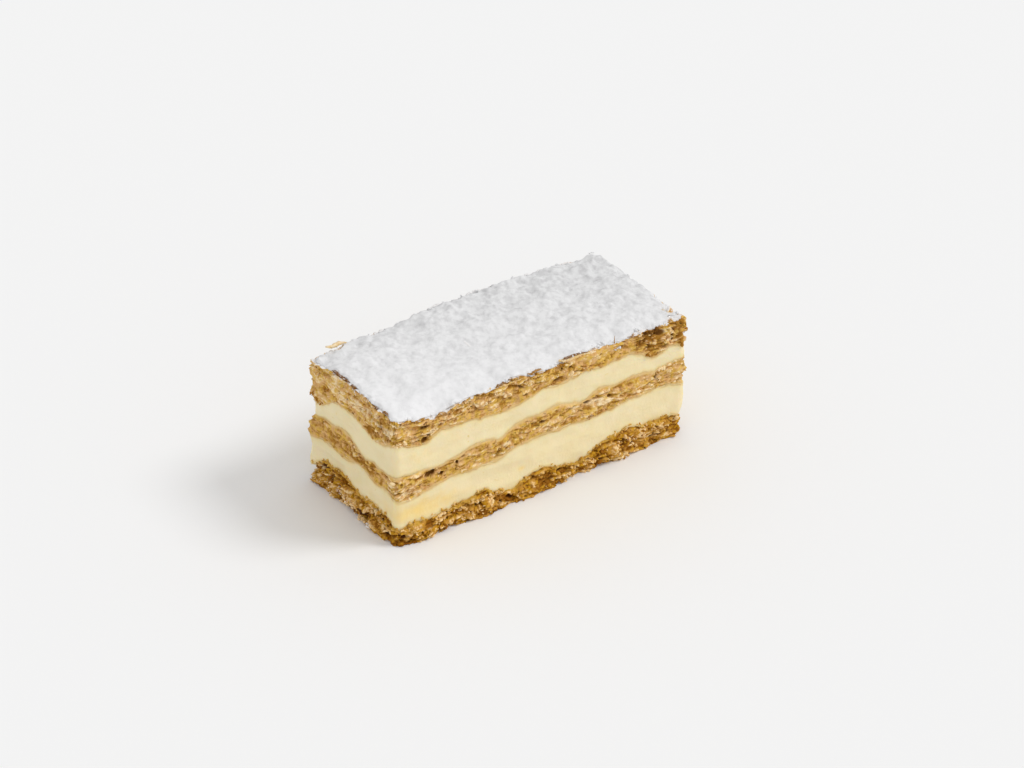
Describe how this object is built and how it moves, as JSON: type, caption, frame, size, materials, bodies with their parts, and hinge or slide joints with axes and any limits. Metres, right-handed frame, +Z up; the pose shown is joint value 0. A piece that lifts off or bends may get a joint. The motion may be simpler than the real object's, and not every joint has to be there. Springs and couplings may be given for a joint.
{
  "type": "mille feuille slice",
  "caption": "Rectangular pastry slice: crisp puff pastry sheets with custard cream between them and a thick dusting of icing sugar on top.",
  "frame": {"origin": "middle of the footprint's bounding box, on the surface that the slice stands on", "axes": "+X along the slice, +Y from its front cut side to its back one, +Z up"},
  "size_m": [0.1222, 0.0558, 0.0511],
  "materials": {
    "browned_pastry": "well browned puff pastry, dry and flaky, with dark hollows",
    "golden_pastry": "golden puff pastry, dry, flaky and porous at the cut",
    "custard_cream": "smooth set custard cream with a soft satin look, cut by a knife",
    "icing_sugar": "thick matte white powder, lightly clumped"
  },
  "bodies": {
    "root": {"base_pastry": "browned_pastry", "lower_cream": "custard_cream", "middle_pastry": "golden_pastry", "upper_cream": "custard_cream", "top_pastry": "golden_pastry", "icing_sugar": "icing_sugar"}
  },
  "joints": []
}
